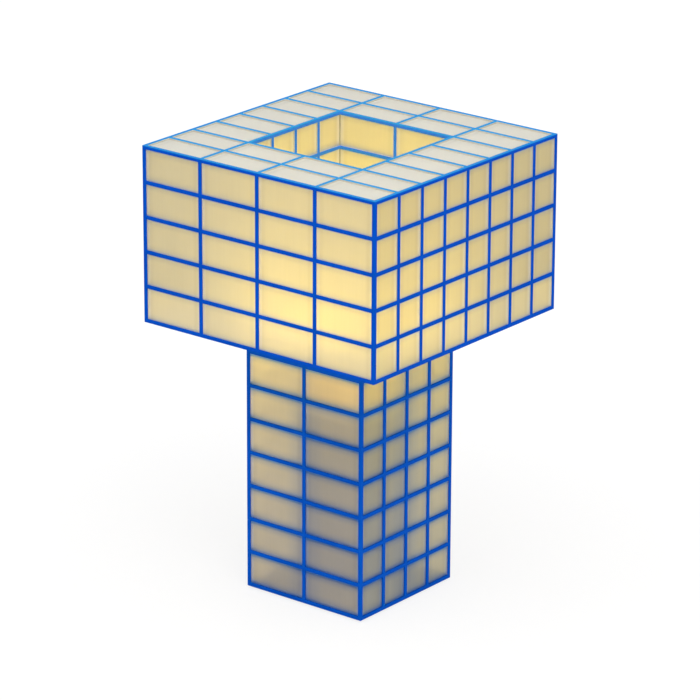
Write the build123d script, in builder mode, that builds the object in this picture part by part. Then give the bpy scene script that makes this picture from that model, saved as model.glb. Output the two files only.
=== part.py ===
"""Portable lamp: a square grille shade with an open well, on a square column
that holds a rechargeable light core.

Millimetres, +Z up.  The origin is on the floor, at the middle of the base.
The front is the -Y side and the right is the +X side.
"""

import os

from build123d import *

# Main sizes
SHADE_WIDTH = 162.1        # shade along X
SHADE_DEPTH = 162.1        # shade along Y
LAMP_HEIGHT = 263.2        # floor to the top of the shade

# Raster that every bar lies on
BAR = 2.1                  # width of a grille bar
SHADE_X_COUNT = 4          # cells of the shade along X
SHADE_Y_COUNT = 8          # and along Y
SHADE_ROWS = 5
SHAFT_X_COUNT = 2          # cells of the column and the well along X
SHAFT_Y_COUNT = 4          # and along Y
COLUMN_ROWS = 8

# Sheet stock
GRILLE = 1.0               # steel of the grilles and rings
PANEL = 1.0                # opal sheet behind the grilles
RIM = 1.0                  # thin rim round the base weight
FIT = 0.1                  # gap at the edge of a sheet
RING_STRIP = 2.0           # width of the base flange and the top ring
GUSSET = 15.0              # leg of a corner gusset
BOLT_INSET = 5.0           # corner bolt, in from the corner of the raster

# Base
FOOT_HEIGHT = 1.2
FOOT_RADIUS = 5.0
FOOT_INSET = 3.5           # foot centre, in from the side of the weight
BASE_RECESS = 0.1          # base underside above the lower edge of the column
WEIGHT_HEIGHT = 5.0        # block of the base weight, above its rim
WEIGHT_GAP = 0.5           # weight to the gussets beside it
EDGE_BREAK = 0.4           # broken edges of turned and moulded pieces

# Screws and nuts
SCREW_RADIUS = 1.5
HEAD_RADIUS = 2.75
HEAD_HEIGHT = 0.8
SOCKET_RADIUS = 1.1        # hexagon socket, across its corners
SOCKET_DEPTH = 0.5
NUT_RADIUS = 3.15          # across the corners
NUT_HEIGHT = 2.4
THREAD_FIT = 0.05          # screw in its own thread, on the radius
HOLE_FIT = 0.15            # screw in a clearance hole, on the radius
SCREW_TIP = 0.4            # screw end past its nut
BOARD_SCREW_RADIUS = 0.9
BOARD_HEAD_RADIUS = 1.7
BOARD_HEAD_HEIGHT = 0.9
BOARD_SCREW_LENGTH = 5.0

# Light core in the column
CORE_ROOM = 13.05          # column wall to the core housing
HOUSING_WALL = 2.0
HOUSING_FLOOR = 2.0
BOSS_RADIUS = 3.5
BOSS_HEIGHT = 8.0
BOSS_INSET = 6.5           # boss centre, in from the outside of the housing
LUG_RADIUS = 6.0           # lugs under the heat spreader
LUG_HEIGHT = 12.0
HOUSING_SCREW = 14.0
CELL_RADIUS = 9.2          # battery cells
CELL_LENGTH = 65.2
CELL_GAP = 0.6
CELL_PLAY = 0.1            # cell in its pocket, on the radius
TIP_RADIUS = 3.0
TIP_HEIGHT = 0.5
TRAY = 3.0                 # end trays that hold the cells
POCKET = 1.5
TRAY_FIT = 0.2
POST_RADIUS = 2.5
POST_SHOULDER_RADIUS = 4.0
POST_SHOULDER = 4.0
POST_INSET = 9.0
DRIVER_BOARD = 1.6
DRIVER_INSET = 1.5         # driver board to the bore of the housing
HEADROOM = 17.2            # driver board to the top of the housing
COIL_RADIUS = 5.0
COIL_GAP = 0.5             # coil, below the lugs of the housing
LEAD_RADIUS = 1.25
LEAD_X = 6.0
LEAD_BEND = 5.0
LEAD_DROP = 0.4            # lead's bend, below the lower tray
LEAD_FIT = 0.5

# Light source
SPREADER = 4.0             # aluminium disc under the light emitters
SPREADER_SCREW = 12.0
LED_BOARD = 1.6
LED_BOARD_INSET = 10.0     # light board, in from the edge of the spreader
LED_COUNT = 8
LED_SIDE = 3.0
LED_HEIGHT = 0.8
LED_INSET = 3.0            # emitter ring, in from the edge of the light board
LAMP_LEAD_RADIUS = 1.5
LAMP_LEAD_FIT = 1.0
SEAL = 1.0
SEAL_WIDTH = 2.4
GLOBE_WALL = 1.6
GLOBE_INSET = 1.5          # globe, in from the edge of the spreader
GLOBE_STRAIGHT = 36.0
GLOBE_FLANGE = 2.0
FLANGE_STEP = 1.1          # flange, out from the globe
COLLAR_WALL = 2.0
COLLAR_GRIP = 3.0          # collar round the spreader
COLLAR_LIP = 1.5
COLLAR_FIT = 0.05
GLOBE_FIT = 0.2

# Controls on the middle line of the lowest rear cell
BOARD_STANDOFF = 7.35
CONTROL_BOARD = 1.2
BOARD_MARGIN = 1.5         # board to the sides of the plate
BOARD_GAP = 1.5            # board, up from the base weight
STANDOFF_RADIUS = 2.0
STANDOFF_INSET = 3.5
BUTTON_X = 9.0             # button, in from the inner side of the cell
BUTTON_RADIUS = 4.0
BUTTON_PROUD = 0.55
BUTTON_FIT = 0.2
BUTTON_FLANGE = 1.2
BUTTON_FLANGE_STEP = 0.8
BUTTON_PLAY = 0.05
STEM_RADIUS = 1.5
STEM_FIT = 0.3
STEM_ENTRY = 0.4           # stem in the switch, with the button out
SWITCH_SIDE = 6.0
SWITCH_DEPTH = 3.5
SWITCH_BORE = 2.2
PORT_WIDTH = 9.0
PORT_HEIGHT = 3.2
PORT_SHELL = 0.3
PORT_DEPTH = 6.5
PORT_FIT = 0.2
PORT_SETBACK = 0.45        # port mouth, in from the face of the plate
TONGUE_WIDTH = 6.6
TONGUE = 0.7
TONGUE_LENGTH = 4.5
HINGE_INSET = 2.75         # cover hinge, in from the outer side of the cell
KNUCKLE_RADIUS = 0.95
PIN_RADIUS = 0.5
PIN_FIT = 0.04             # knuckle on the pin, on the radius
PIN_PRESS = 0.02           # pin in the ears, on the radius
EAR = 1.5
EAR_GAP = 0.1
COVER_HEIGHT = 8.0
COVER_THICKNESS = 0.9
COVER_MARGIN = 3.0         # cover past each end of the port
COVER_CORNER = 2.0
COVER_GAP = 0.05
PLUG_WIDTH = 7.4
PLUG_HEIGHT = 1.6
PLUG_ENTRY = 0.3

# Plan sizes
cell_x = (SHADE_WIDTH - BAR) / SHADE_X_COUNT
cell_y = (SHADE_DEPTH - BAR) / SHADE_Y_COUNT
shaft_x = SHAFT_X_COUNT * cell_x
shaft_y = SHAFT_Y_COUNT * cell_y
column_x = shaft_x + BAR
column_y = shaft_y + BAR
well_x = shaft_x - BAR
well_y = shaft_y - BAR
inside_x = column_x - 2 * GRILLE
inside_y = column_y - 2 * GRILLE
bolt_x = shaft_x / 2 - BOLT_INSET
bolt_y = shaft_y / 2 - BOLT_INSET

# Levels, from the floor up
base_bottom = FOOT_HEIGHT
rim_top = base_bottom + RIM
flange_top = rim_top + GRILLE
weight_top = rim_top + WEIGHT_HEIGHT
column_bottom = base_bottom - BASE_RECESS
row = (LAMP_HEIGHT - column_bottom - BAR) / (COLUMN_ROWS + SHADE_ROWS)
shade_bottom = column_bottom + COLUMN_ROWS * row
ring_bottom = shade_bottom - GRILLE
floor_top = shade_bottom + GRILLE
wall_top = LAMP_HEIGHT - GRILLE
lid_bottom = wall_top - PANEL
shade_rows_mid = (shade_bottom + LAMP_HEIGHT) / 2
column_rows_mid = column_bottom + (COLUMN_ROWS * row + BAR) / 2

# Wall planes: each looks outward, with its second axis up
FRONT = Plane((0, 0, 0), x_dir=(1, 0, 0), z_dir=(0, -1, 0))
REAR = Plane((0, 0, 0), x_dir=(-1, 0, 0), z_dir=(0, 1, 0))
LEFT = Plane((0, 0, 0), x_dir=(0, -1, 0), z_dir=(-1, 0, 0))
RIGHT = Plane((0, 0, 0), x_dir=(0, 1, 0), z_dir=(1, 0, 0))

corners = [(sx, sy) for sx in (-1, 1) for sy in (-1, 1)]
bolts = [(sx * bolt_x, sy * bolt_y) for sx, sy in corners]

os.makedirs("parts", exist_ok=True)


def save(part, name):
    """Label a finished piece and write it."""
    part.label = name
    export_step(part, f"parts/{name}.step")


def wall_grille(plane, face, width, bottom, top, cell, columns, rows, rows_mid, rail):
    """Flat steel grille whose outer side lies `face` from the axis."""
    with BuildPart() as grille:
        with BuildSketch(plane.offset(face - GRILLE)):
            with Locations((0, (bottom + top) / 2)):
                Rectangle(width, top - bottom)
            with Locations((0, rows_mid)):
                with GridLocations(cell, row, columns, rows):
                    Rectangle(cell - BAR, row - BAR, mode=Mode.SUBTRACT)
            if rail:
                with Locations((0, top - rail / 2)):
                    Rectangle(width, rail)
        extrude(amount=GRILLE)
    return grille.part


def well_grille(plane, face, width, cell, bars):
    """Grille of a well wall: rails with open ends, tied by upright bars."""
    height = wall_top - floor_top
    with BuildPart() as grille:
        with BuildSketch(plane.offset(face)):
            with Locations((0, (floor_top + wall_top) / 2)):
                Rectangle(width, height)
            with Locations((0, shade_rows_mid)):
                with GridLocations(cell_x, row, 1, SHADE_ROWS):
                    Rectangle(width, row - BAR, mode=Mode.SUBTRACT)
            with Locations((0, (floor_top + wall_top) / 2)):
                with GridLocations(cell, row, bars, 1):
                    Rectangle(BAR, height)
        extrude(amount=GRILLE)
    return grille.part


def wall_panel(plane, face, width, bottom, top):
    """Flat opal sheet whose outer side lies `face` from the axis."""
    with BuildPart() as sheet:
        with BuildSketch(plane.offset(face - PANEL)):
            with Locations((0, (bottom + top) / 2)):
                Rectangle(width, top - bottom)
        extrude(amount=PANEL)
    return sheet.part


def gussets(half_x, half_y, leg):
    """Draw a right triangle in each corner of a rectangle, in the open sketch."""
    for sx, sy in corners:
        Polygon(
            (sx * half_x, sy * half_y),
            (sx * (half_x - leg), sy * half_y),
            (sx * half_x, sy * (half_y - leg)),
            align=None,
        )


def level_grille(bottom, outer_x, outer_y, hole_x, hole_y):
    """Level grille ring of the shade, open over the shaft."""
    ring = [
        place
        for place in GridLocations(cell_x, cell_y, SHADE_X_COUNT, SHADE_Y_COUNT)
        if abs(place.position.X) > shaft_x / 2 or abs(place.position.Y) > shaft_y / 2
    ]
    with BuildPart() as grille:
        with BuildSketch(Plane.XY.offset(bottom)):
            Rectangle(outer_x, outer_y)
            with Locations(*ring):
                Rectangle(cell_x - BAR, cell_y - BAR, mode=Mode.SUBTRACT)
            Rectangle(hole_x, hole_y, mode=Mode.SUBTRACT)
        extrude(amount=GRILLE)
    return grille.part


def level_panel(bottom, outer_x, outer_y, hole_x, hole_y):
    """Level opal sheet of the shade, open over the shaft."""
    with BuildPart() as sheet:
        with BuildSketch(Plane.XY.offset(bottom)):
            Rectangle(outer_x, outer_y)
            Rectangle(hole_x, hole_y, mode=Mode.SUBTRACT)
        extrude(amount=PANEL)
    return sheet.part


def gusset_ring(bottom):
    """Ring with four drilled gussets, bonded inside an end of the column."""
    outer_x = inside_x - 2 * FIT
    outer_y = inside_y - 2 * FIT
    with BuildPart() as ring:
        with BuildSketch(Plane.XY.offset(bottom)):
            Rectangle(outer_x, outer_y)
            Rectangle(outer_x - 2 * RING_STRIP, outer_y - 2 * RING_STRIP, mode=Mode.SUBTRACT)
            gussets(outer_x / 2, outer_y / 2, GUSSET)
            with Locations(*bolts):
                Circle(SCREW_RADIUS + HOLE_FIT, mode=Mode.SUBTRACT)
        extrude(amount=GRILLE)
    return ring.part


def screws(places, seat, length, up):
    """Thin-head screws under or on a level seat; `up` is the way they point."""
    with BuildPart() as group:
        with BuildSketch(Plane.XY.offset(seat)):
            with Locations(*places):
                Circle(HEAD_RADIUS)
        extrude(amount=-up * HEAD_HEIGHT)
        with BuildSketch(Plane.XY.offset(seat)):
            with Locations(*places):
                Circle(SCREW_RADIUS)
        extrude(amount=up * length)
        with BuildSketch(Plane.XY.offset(seat - up * HEAD_HEIGHT)):
            with Locations(*places):
                RegularPolygon(SOCKET_RADIUS, 6)
        extrude(amount=up * SOCKET_DEPTH, mode=Mode.SUBTRACT)
    return group.part


def nuts(places, bottom):
    """Hexagon nuts standing on a level seat."""
    with BuildPart() as group:
        with BuildSketch(Plane.XY.offset(bottom)):
            with Locations(*places):
                RegularPolygon(NUT_RADIUS, 6)
                Circle(SCREW_RADIUS + THREAD_FIT, mode=Mode.SUBTRACT)
        extrude(amount=NUT_HEIGHT)
    return group.part


# Grilles of the shade
for name, plane in (("front", FRONT), ("rear", REAR)):
    save(
        wall_grille(
            plane, SHADE_DEPTH / 2, SHADE_WIDTH, shade_bottom, wall_top,
            cell_x, SHADE_X_COUNT, SHADE_ROWS, shade_rows_mid, 0,
        ),
        f"shade_{name}_grille",
    )
    save(
        well_grille(plane, well_y / 2, well_x + 2 * GRILLE, cell_x, SHAFT_X_COUNT - 1),
        f"well_{name}_grille",
    )
for name, plane in (("left", LEFT), ("right", RIGHT)):
    save(
        wall_grille(
            plane, SHADE_WIDTH / 2, SHADE_DEPTH - 2 * GRILLE, shade_bottom, wall_top,
            cell_y, SHADE_Y_COUNT, SHADE_ROWS, shade_rows_mid, 0,
        ),
        f"shade_{name}_grille",
    )
    save(
        well_grille(plane, well_x / 2, well_y, cell_y, SHAFT_Y_COUNT - 1),
        f"well_{name}_grille",
    )
save(level_grille(wall_top, SHADE_WIDTH, SHADE_DEPTH, well_x, well_y), "shade_top_grille")

# Floor grille of the shade, with the gussets that the column is bolted to
floor_x = SHADE_WIDTH - 2 * GRILLE - 2 * FIT
floor_y = SHADE_DEPTH - 2 * GRILLE - 2 * FIT
with BuildPart() as shade_floor_grille:
    add(level_grille(shade_bottom, floor_x, floor_y, well_x, well_y))
    with BuildSketch(Plane.XY.offset(shade_bottom)):
        gussets(well_x / 2 + BAR / 2, well_y / 2 + BAR / 2, GUSSET)
        with Locations(*bolts):
            Circle(SCREW_RADIUS + HOLE_FIT, mode=Mode.SUBTRACT)
    extrude(amount=GRILLE)
save(shade_floor_grille.part, "shade_floor_grille")

# Opal sheets of the shade
lining_x = SHADE_WIDTH - 2 * GRILLE
lining_y = SHADE_DEPTH - 2 * GRILLE
well_sheet_x = well_x + 2 * GRILLE + 2 * PANEL
well_sheet_y = well_y + 2 * GRILLE + 2 * PANEL
for name, plane in (("front", FRONT), ("rear", REAR)):
    save(
        wall_panel(plane, lining_y / 2, lining_x - 2 * FIT, floor_top, lid_bottom - FIT),
        f"shade_{name}_panel",
    )
    save(
        wall_panel(plane, well_sheet_y / 2, well_sheet_x, floor_top, lid_bottom - FIT),
        f"well_{name}_panel",
    )
for name, plane in (("left", LEFT), ("right", RIGHT)):
    save(
        wall_panel(
            plane, lining_x / 2, lining_y - 2 * PANEL - 2 * FIT, floor_top, lid_bottom - FIT,
        ),
        f"shade_{name}_panel",
    )
    save(
        wall_panel(
            plane, well_sheet_x / 2, well_y + 2 * GRILLE - 2 * FIT, floor_top, lid_bottom - FIT,
        ),
        f"well_{name}_panel",
    )
save(
    level_panel(
        lid_bottom, lining_x - 2 * FIT, lining_y - 2 * FIT,
        well_x + 2 * GRILLE + 2 * FIT, well_y + 2 * GRILLE + 2 * FIT,
    ),
    "shade_top_panel",
)
save(
    level_panel(
        floor_top, lining_x - 2 * PANEL - 2 * FIT, lining_y - 2 * PANEL - 2 * FIT,
        well_sheet_x + 2 * FIT, well_sheet_y + 2 * FIT,
    ),
    "shade_floor_panel",
)

# Grilles of the column
for name, plane in (("front", FRONT), ("rear", REAR)):
    save(
        wall_grille(
            plane, column_y / 2, column_x, column_bottom, shade_bottom,
            cell_x, SHAFT_X_COUNT, COLUMN_ROWS, column_rows_mid, BAR,
        ),
        f"column_{name}_grille",
    )
for name, plane in (("left", LEFT), ("right", RIGHT)):
    save(
        wall_grille(
            plane, column_x / 2, inside_y, column_bottom, shade_bottom,
            cell_y, SHAFT_Y_COUNT, COLUMN_ROWS, column_rows_mid, BAR,
        ),
        f"column_{name}_grille",
    )
save(gusset_ring(rim_top), "base_flange")
save(gusset_ring(ring_bottom), "column_top_ring")

# Opal sheets of the column; the rear one leaves its lowest cell to the controls
sheet_top = ring_bottom - FIT
save(
    wall_panel(FRONT, inside_y / 2, inside_x - 2 * FIT, flange_top, sheet_top),
    "column_front_panel",
)
for name, plane in (("left", LEFT), ("right", RIGHT)):
    save(
        wall_panel(plane, inside_x / 2, inside_y - 2 * PANEL - 2 * FIT, flange_top, sheet_top),
        f"column_{name}_panel",
    )
plate_top = column_bottom + row + BAR / 2
plate_inner = FIT
plate_outer = inside_x / 2 - FIT
with BuildPart() as column_rear_panel:
    add(wall_panel(REAR, inside_y / 2, inside_x - 2 * FIT, flange_top, sheet_top))
    with BuildSketch(REAR.offset(inside_y / 2 - PANEL)):
        with Locations((0, flange_top)):
            Rectangle(
                plate_outer, plate_top + FIT - flange_top, align=(Align.MIN, Align.MIN),
            )
    extrude(amount=PANEL, mode=Mode.SUBTRACT)
save(column_rear_panel.part, "column_rear_panel")

# Bolts that hold the shade on the column
save(
    screws(bolts, floor_top, 2 * GRILLE + NUT_HEIGHT + SCREW_TIP, -1),
    "shade_bolts",
)
save(nuts(bolts, ring_bottom - NUT_HEIGHT), "shade_nuts")

# Base weight: a steel block with a thin rim that closes the column
weight_x = inside_x - GUSSET - 2 * WEIGHT_GAP
weight_y = inside_y - GUSSET - 2 * WEIGHT_GAP
housing_radius = inside_y / 2 - CORE_ROOM
boss_ring = housing_radius - BOSS_INSET
boss_angles = (30, 150, 270)
lug_angles = (90, 210, 330)


def ring_places(radius, angles):
    """Points on a circle about the axis."""
    return [tuple(Vector(radius, 0).rotate(Axis.Z, angle))[:2] for angle in angles]


bosses = ring_places(boss_ring, boss_angles)
with BuildPart() as base_weight:
    with BuildSketch(Plane.XY.offset(base_bottom)):
        Rectangle(inside_x - 2 * FIT, inside_y - 2 * FIT)
    extrude(amount=RIM)
    with BuildSketch(Plane.XY.offset(rim_top)):
        Rectangle(weight_x, weight_y)
    extrude(amount=WEIGHT_HEIGHT)
    chamfer(base_weight.faces().sort_by(Axis.Z)[-1].edges(), EDGE_BREAK)
    with BuildSketch(Plane.XY.offset(base_bottom)):
        with Locations(*bolts, *bosses):
            Circle(SCREW_RADIUS + HOLE_FIT)
    extrude(amount=RIM + WEIGHT_HEIGHT, mode=Mode.SUBTRACT)
save(base_weight.part, "base_weight")

with BuildPart() as feet:
    with BuildSketch():
        with GridLocations(weight_x - 2 * FOOT_INSET, weight_y - 2 * FOOT_INSET, 2, 2):
            Circle(FOOT_RADIUS)
    extrude(amount=FOOT_HEIGHT)
save(feet.part, "feet")

save(
    screws(bolts, base_bottom, RIM + GRILLE + NUT_HEIGHT + SCREW_TIP, 1),
    "base_screws",
)
save(nuts(bolts, flange_top), "base_nuts")

# Housing of the light core, on the base weight
bore = housing_radius - HOUSING_WALL
deck = weight_top + HOUSING_FLOOR
boss_top = deck + BOSS_HEIGHT
tray_top = boss_top + TRAY
cell_bottom = tray_top - POCKET
cell_top = cell_bottom + CELL_LENGTH
cap_bottom = cell_top + TIP_HEIGHT - POCKET
cap_top = cap_bottom + TRAY
driver_bottom = cap_top + POST_SHOULDER
driver_top = driver_bottom + DRIVER_BOARD
housing_top = driver_top + HEADROOM
lugs = ring_places(boss_ring, lug_angles)
lead_y = boss_ring
lead_z = boss_top - LEAD_BEND - LEAD_DROP
board_front = inside_y / 2 - PANEL - BOARD_STANDOFF
board_back = board_front - CONTROL_BOARD

with BuildPart() as core_housing:
    with BuildSketch(Plane.XY.offset(weight_top)):
        Circle(housing_radius)
    extrude(amount=housing_top - weight_top)
    with BuildSketch(Plane.XY.offset(deck)):
        Circle(bore)
    extrude(amount=housing_top - deck, mode=Mode.SUBTRACT)
    with BuildSketch(Plane.XY.offset(deck)):
        with Locations(*bosses):
            Circle(BOSS_RADIUS)
    extrude(amount=BOSS_HEIGHT)
    with BuildSketch(Plane.XY.offset(housing_top - LUG_HEIGHT)):
        with Locations(*lugs):
            Circle(LUG_RADIUS)
        Circle(housing_radius - HOUSING_WALL / 2, mode=Mode.INTERSECT)
    extrude(amount=LUG_HEIGHT)
    with BuildSketch(Plane.XY.offset(weight_top)):
        with Locations(*bosses):
            Circle(SCREW_RADIUS + THREAD_FIT)
    extrude(amount=boss_top - weight_top, mode=Mode.SUBTRACT)
    with BuildSketch(Plane.XY.offset(housing_top - LUG_HEIGHT)):
        with Locations(*lugs):
            Circle(SCREW_RADIUS + THREAD_FIT)
    extrude(amount=LUG_HEIGHT, mode=Mode.SUBTRACT)
    with BuildSketch(REAR.offset(lead_y)):
        with Locations((LEAD_X, lead_z)):
            Circle(LEAD_RADIUS + LEAD_FIT)
    extrude(amount=housing_radius, mode=Mode.SUBTRACT)
save(core_housing.part, "core_housing")
save(screws(bosses, base_bottom, HOUSING_SCREW, 1), "housing_screws")

# Battery: two cells between end trays
cell_pitch = 2 * CELL_RADIUS + CELL_GAP
posts = ring_places(housing_radius - POST_INSET, boss_angles)
with BuildPart() as battery_trays:
    with BuildSketch(Plane.XY.offset(boss_top)):
        Circle(bore - TRAY_FIT)
    extrude(amount=TRAY)
    with BuildSketch(Plane.XY.offset(cell_bottom)):
        with GridLocations(cell_pitch, cell_pitch, 2, 1):
            Circle(CELL_RADIUS + CELL_PLAY)
    extrude(amount=POCKET, mode=Mode.SUBTRACT)
    with BuildSketch(Plane.XY.offset(cap_bottom)):
        Circle(bore - TRAY_FIT)
    extrude(amount=TRAY)
    with BuildSketch(Plane.XY.offset(cap_bottom)):
        with GridLocations(cell_pitch, cell_pitch, 2, 1):
            Circle(CELL_RADIUS + CELL_PLAY)
    extrude(amount=POCKET, mode=Mode.SUBTRACT)
    with BuildSketch(Plane.XY.offset(cap_top)):
        with Locations(*posts):
            Circle(POST_SHOULDER_RADIUS)
    extrude(amount=POST_SHOULDER)
    with BuildSketch(Plane.XY.offset(driver_bottom)):
        with Locations(*posts):
            Circle(POST_RADIUS)
    extrude(amount=housing_top - FIT - driver_bottom)
    with BuildSketch(Plane.XY.offset(boss_top)):
        with Locations((-LEAD_X, lead_y)):
            Circle(LEAD_RADIUS + LEAD_FIT)
    extrude(amount=cap_top - boss_top, mode=Mode.SUBTRACT)
save(battery_trays.part, "battery_trays")

with BuildPart() as battery_cells:
    with BuildSketch(Plane.XY.offset(cell_bottom)):
        with GridLocations(cell_pitch, cell_pitch, 2, 1):
            Circle(CELL_RADIUS)
    extrude(amount=CELL_LENGTH)
    with BuildSketch(Plane.XY.offset(cell_top)):
        with GridLocations(cell_pitch, cell_pitch, 2, 1):
            Circle(TIP_RADIUS)
    extrude(amount=TIP_HEIGHT)
save(battery_cells.part, "battery_cells")

# Driver board over the battery, with its coil
with BuildPart() as driver_board:
    with BuildSketch(Plane.XY.offset(driver_bottom)):
        Circle(bore - DRIVER_INSET)
        with Locations(*posts):
            Circle(POST_RADIUS + FIT, mode=Mode.SUBTRACT)
    extrude(amount=DRIVER_BOARD)
save(driver_board.part, "driver_board")

with BuildPart() as driver_coil:
    with BuildSketch(Plane.XY.offset(driver_top)):
        with Locations((0, boss_ring / 2)):
            Circle(COIL_RADIUS)
    extrude(amount=housing_top - LUG_HEIGHT - COIL_GAP - driver_top)
    fillet(driver_coil.faces().sort_by(Axis.Z)[-1].edges(), EDGE_BREAK)
save(driver_coil.part, "driver_coil")

# Heat spreader and light board
spreader_top = housing_top + SPREADER
led_top = spreader_top + LED_BOARD
lamp_hole = LAMP_LEAD_RADIUS + LAMP_LEAD_FIT
with BuildPart() as heat_spreader:
    with BuildSketch(Plane.XY.offset(housing_top)):
        Circle(housing_radius)
        with Locations(*lugs):
            Circle(SCREW_RADIUS + HOLE_FIT, mode=Mode.SUBTRACT)
        Circle(lamp_hole, mode=Mode.SUBTRACT)
    extrude(amount=SPREADER)
save(heat_spreader.part, "heat_spreader")
save(screws(lugs, spreader_top, SPREADER_SCREW, -1), "spreader_screws")

led_board_radius = housing_radius - LED_BOARD_INSET
with BuildPart() as led_board:
    with BuildSketch(Plane.XY.offset(spreader_top)):
        Circle(led_board_radius)
        Circle(lamp_hole, mode=Mode.SUBTRACT)
    extrude(amount=LED_BOARD)
save(led_board.part, "led_board")

with BuildPart() as led_emitters:
    with BuildSketch(Plane.XY.offset(led_top)):
        with PolarLocations(led_board_radius - LED_INSET, LED_COUNT):
            Rectangle(LED_SIDE, LED_SIDE)
    extrude(amount=LED_HEIGHT)
save(led_emitters.part, "led_emitters")

with BuildPart() as lamp_lead:
    with BuildSketch(Plane.XY.offset(driver_top)):
        Circle(LAMP_LEAD_RADIUS)
    extrude(amount=led_top - driver_top)
save(lamp_lead.part, "lamp_lead")

# Globe over the light board: a domed opal cap, held by a screwed collar
seal_top = spreader_top + SEAL
globe_radius = housing_radius - GLOBE_INSET
flange_radius = globe_radius + FLANGE_STEP
dome_mid = seal_top + GLOBE_STRAIGHT
lip_bottom = seal_top + GLOBE_FLANGE
collar_top = lip_bottom + COLLAR_LIP
with BuildPart() as globe_seal:
    with BuildSketch(Plane.XY.offset(spreader_top)):
        Circle(flange_radius)
        Circle(flange_radius - SEAL_WIDTH, mode=Mode.SUBTRACT)
    extrude(amount=SEAL)
save(globe_seal.part, "globe_seal")

with BuildPart() as globe:
    with BuildSketch(Plane.XZ):
        with BuildLine():
            Polyline(
                (globe_radius - GLOBE_WALL, dome_mid),
                (globe_radius - GLOBE_WALL, seal_top),
                (flange_radius, seal_top),
                (flange_radius, lip_bottom),
                (globe_radius, lip_bottom),
                (globe_radius, dome_mid),
            )
            CenterArc((0, dome_mid), globe_radius, 0, 90)
            Line((0, dome_mid + globe_radius), (0, dome_mid + globe_radius - GLOBE_WALL))
            CenterArc((0, dome_mid), globe_radius - GLOBE_WALL, 0, 90)
        make_face()
    revolve(axis=Axis.Z)
save(globe.part, "globe")

collar_bore = housing_radius + COLLAR_FIT
with BuildPart() as globe_collar:
    with BuildSketch(Plane.XZ):
        with BuildLine():
            Polyline(
                (collar_bore, spreader_top - COLLAR_GRIP),
                (collar_bore + COLLAR_WALL, spreader_top - COLLAR_GRIP),
                (collar_bore + COLLAR_WALL, collar_top),
                (globe_radius + GLOBE_FIT, collar_top),
                (globe_radius + GLOBE_FIT, lip_bottom),
                (collar_bore, lip_bottom),
                close=True,
            )
        make_face()
    revolve(axis=Axis.Z)
    rim_edges = globe_collar.edges().filter_by(GeomType.CIRCLE)
    fillet(rim_edges.group_by(Axis.Z)[-1].sort_by(SortBy.RADIUS)[-1], EDGE_BREAK)
save(globe_collar.part, "globe_collar")

# Control plate behind the lowest rear cell on the left, with standoffs and hinge ears; the
# places of the controls are measured from the middle to the left, as the rear plane runs
plate_face = inside_y / 2
plate_back = plate_face - PANEL
cell_inner = BAR / 2
cell_outer = shaft_x / 2 - BAR / 2
control_z = column_bottom + (row + BAR) / 2
button_x = cell_inner + BUTTON_X
hinge_x = cell_outer - HINGE_INSET
hinge_y = plate_face + COVER_GAP + KNUCKLE_RADIUS
port_x = hinge_x - KNUCKLE_RADIUS - COVER_MARGIN - PORT_WIDTH / 2
ear_radius = KNUCKLE_RADIUS + COVER_GAP
ear_bottom = control_z - COVER_HEIGHT / 2 - EAR_GAP - EAR
ear_span = COVER_HEIGHT + 2 * EAR_GAP + 2 * EAR
standoff_z = plate_top - STANDOFF_RADIUS - FIT
standoffs = [
    (plate_inner + STANDOFF_INSET, standoff_z),
    (plate_outer - PANEL - STANDOFF_INSET, standoff_z),
]

with BuildPart() as control_plate:
    with BuildSketch(REAR.offset(plate_back)):
        with Locations((plate_inner, flange_top)):
            Rectangle(
                plate_outer - plate_inner, plate_top - flange_top, align=(Align.MIN, Align.MIN),
            )
        with Locations((button_x, control_z)):
            Circle(BUTTON_RADIUS + BUTTON_FIT, mode=Mode.SUBTRACT)
        with Locations((port_x, control_z)):
            SlotOverall(
                PORT_WIDTH + 2 * PORT_FIT, PORT_HEIGHT + 2 * PORT_FIT, mode=Mode.SUBTRACT,
            )
    extrude(amount=PANEL)
    with BuildSketch(REAR.offset(board_front)):
        with Locations(*standoffs):
            Circle(STANDOFF_RADIUS)
            Circle(BOARD_SCREW_RADIUS + THREAD_FIT, mode=Mode.SUBTRACT)
    extrude(amount=BOARD_STANDOFF)
    with BuildSketch(Plane.XY.offset(ear_bottom)):
        with Locations((-hinge_x, hinge_y)):
            Circle(ear_radius)
        with Locations((-hinge_x, plate_face)):
            Rectangle(2 * ear_radius, hinge_y - plate_face, align=(Align.CENTER, Align.MIN))
        with Locations((-hinge_x, hinge_y)):
            Circle(PIN_RADIUS + PIN_PRESS, mode=Mode.SUBTRACT)
    extrude(amount=EAR)
    with BuildSketch(Plane.XY.offset(ear_bottom + ear_span - EAR)):
        with Locations((-hinge_x, hinge_y)):
            Circle(ear_radius)
        with Locations((-hinge_x, plate_face)):
            Rectangle(2 * ear_radius, hinge_y - plate_face, align=(Align.CENTER, Align.MIN))
        with Locations((-hinge_x, hinge_y)):
            Circle(PIN_RADIUS + PIN_PRESS, mode=Mode.SUBTRACT)
    extrude(amount=EAR)
save(control_plate.part, "control_plate")

# Control board on the standoffs
board_inner = plate_inner + BOARD_MARGIN
board_outer = plate_outer - PANEL - BOARD_MARGIN
board_bottom = weight_top + BOARD_GAP
with BuildPart() as control_board:
    with BuildSketch(REAR.offset(board_back)):
        with Locations((board_inner, board_bottom)):
            Rectangle(
                board_outer - board_inner, plate_top - board_bottom, align=(Align.MIN, Align.MIN),
            )
        with Locations(*standoffs):
            Circle(BOARD_SCREW_RADIUS + HOLE_FIT, mode=Mode.SUBTRACT)
    extrude(amount=CONTROL_BOARD)
save(control_board.part, "control_board")

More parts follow.
